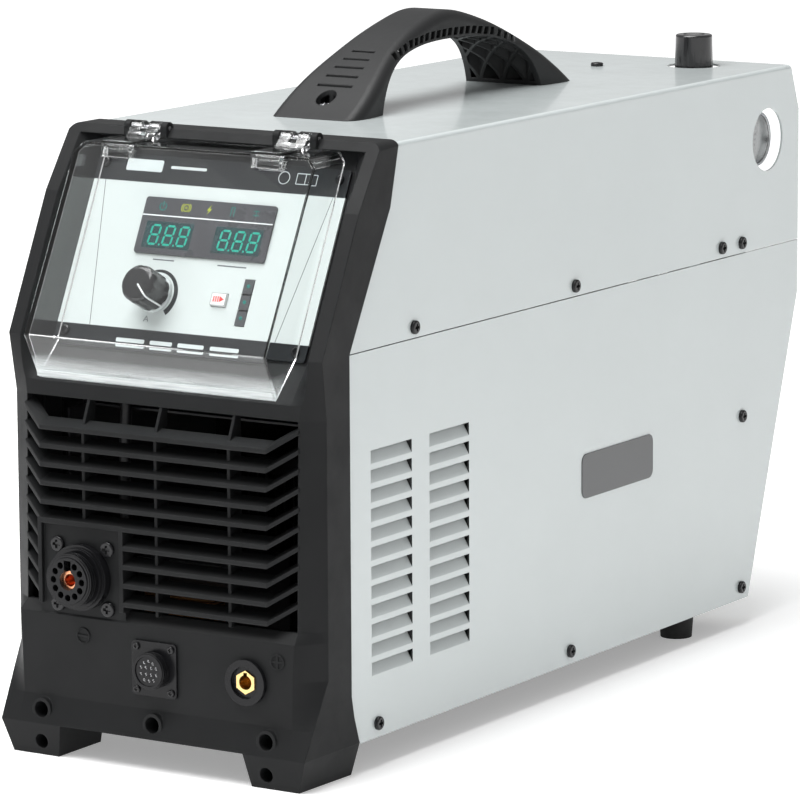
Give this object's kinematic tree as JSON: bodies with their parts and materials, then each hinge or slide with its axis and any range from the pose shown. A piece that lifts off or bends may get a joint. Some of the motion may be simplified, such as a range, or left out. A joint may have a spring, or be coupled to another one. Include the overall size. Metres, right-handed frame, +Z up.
{
  "type": "plasma cutter power source",
  "caption": "Portable plasma cutting power source: sheet steel casing, moulded louvred front, sloped control panel under a hinged clear cover, carry handle, rear air regulator.",
  "frame": {"origin": "on the floor under the middle of the bounding box", "axes": "+Z up, +X to the right as seen by someone facing the control panel, +Y from the front towards the rear"},
  "size_m": [0.2472, 0.682, 0.4717],
  "materials": {
    "bezel_plastic": "fine moulded grain",
    "label": "satin printed film on aluminium",
    "black_screw": "black oxide",
    "smoked_window": "gloss smoked",
    "led_module": "gloss",
    "led_lens": "gloss",
    "knob_plastic": "satin",
    "knob_ring": "spun",
    "steel": "turned",
    "button": "satin",
    "circuit_board": "solder mask",
    "clear_plastic": "clear polycarbonate",
    "clear_hinge": "clear moulded",
    "chromed_pin": "polished",
    "socket_black": "satin",
    "copper": "turned copper",
    "brass": "turned",
    "casing_paint": "fine textured powder coat",
    "galvanised": "zinc plated",
    "black_coat": "satin black coat",
    "badge": "gloss",
    "handle_plastic": "fine moulded grain",
    "feet_rubber": "matte",
    "regulator_zinc": "die cast",
    "bowl": "clear moulded",
    "knob_gloss": "gloss",
    "gauge_chrome": "polished",
    "gauge_face": "printed",
    "gauge_needle": "satin",
    "glass": "clear",
    "nickel": "nickel plated",
    "switch_black": "satin",
    "toggle": "satin",
    "fan_plastic": "satin",
    "board_parts": "solder mask",
    "heatsink": "black anodised extrusion",
    "core": "ferrite",
    "coil": "varnished winding",
    "capacitor": "sleeved",
    "valve": "machined",
    "hose": "satin"
  },
  "bodies": {
    "casing": {"bezel": "bezel_plastic", "label_plate": "label", "panel_screws": "black_screw", "display_window": "smoked_window", "led_displays": "led_module", "indicator_leds": "led_lens", "control_board": "circuit_board", "hinge_pins": "chromed_pin", "torch_socket_shell": "socket_black", "torch_socket_insert": "socket_black", "torch_socket_contact": "copper", "torch_socket_screws": "black_screw", "cnc_socket_shell": "socket_black", "cnc_socket_insert": "socket_black", "cnc_socket_contacts": "brass", "cnc_socket_screws": "black_screw", "work_socket_housing": "socket_black", "work_socket_bush": "brass", "upper_cover": "casing_paint", "side_panel_right": "casing_paint", "side_panel_left": "casing_paint", "base_tray": "black_coat", "rear_panel": "casing_paint", "cover_screws": "black_screw", "side_badges": "badge", "handle": "handle_plastic", "handle_screws": "steel", "rear_feet": "feet_rubber", "regulator_body": "regulator_zinc", "regulator_bowl": "bowl", "regulator_bracket": "galvanised", "gauge_case": "gauge_chrome", "gauge_dial": "gauge_face", "gauge_lens": "glass", "air_inlet_plug": "nickel", "breaker_body": "switch_black", "mains_gland": "switch_black", "earth_stud": "brass", "fan_frame": "fan_plastic", "fan_guard": "chromed_pin", "mid_shelf": "black_coat", "main_board": "board_parts", "heatsinks": "heatsink", "transformer_core": "core", "transformer_coil": "coil", "capacitors": "capacitor", "solenoid_valve": "valve", "air_hose": "hose"},
    "cover": {"clear_cover": "clear_plastic", "hinge_leaves": "clear_hinge"},
    "knob": {"current_knob": "knob_plastic", "knob_skirt": "knob_ring", "encoder_shaft": "steel"},
    "button": {"mode_button": "button"},
    "spindle": {"regulator_spindle": "brass"},
    "lock_cap": {"regulator_knob": "knob_gloss"},
    "needle": {"gauge_needle": "gauge_needle"},
    "drain": {"drain_valve": "knob_gloss"},
    "toggle": {"breaker_toggle": "toggle"},
    "rotor": {"fan_rotor": "fan_plastic"}
  },
  "joints": [
    {"name": "cover_hinge", "type": "hinge", "parent": "casing", "child": "cover", "pos_m": [0, -0.2395, 0.4115], "axis": [-1, 0, 0], "range_deg": [0, 110]},
    {"name": "current_knob_turn", "type": "hinge", "parent": "casing", "child": "knob", "pos_m": [-0.0273, -0.27926, 0.30766], "axis": [0, -0.8973, 0.4415], "range_deg": [-15, 270]},
    {"name": "mode_button_press", "type": "slide", "parent": "casing", "child": "button", "axis": [0, 0.8973, -0.4415], "range_m": [0, 0.0012], "stiffness_N_per_m": 400},
    {"name": "regulator_turn", "type": "hinge", "parent": "casing", "child": "spindle", "pos_m": [0.0605, 0.288, 0.4], "axis": [0, 0, -1], "continuous": true},
    {"name": "regulator_lock_pull", "type": "slide", "parent": "spindle", "child": "lock_cap", "axis": [0, 0, 1], "range_m": [0, 0.003]},
    {"name": "gauge_needle_turn", "type": "hinge", "parent": "casing", "child": "needle", "pos_m": [0.099, 0.2925, 0.358], "axis": [-1, 0, 0], "range_deg": [0, 270]},
    {"name": "drain_turn", "type": "hinge", "parent": "casing", "child": "drain", "pos_m": [0.0605, 0.288, 0.24], "axis": [0, 0, 1], "range_deg": [0, 270]},
    {"name": "main_switch", "type": "hinge", "parent": "casing", "child": "toggle", "pos_m": [-0.06, 0.2585, 0.34], "axis": [1, 0, 0], "range_deg": [0, 64]},
    {"name": "fan_spin", "type": "hinge", "parent": "casing", "child": "rotor", "pos_m": [0, 0.242, 0.122], "axis": [0, 1, 0], "continuous": true}
  ]
}
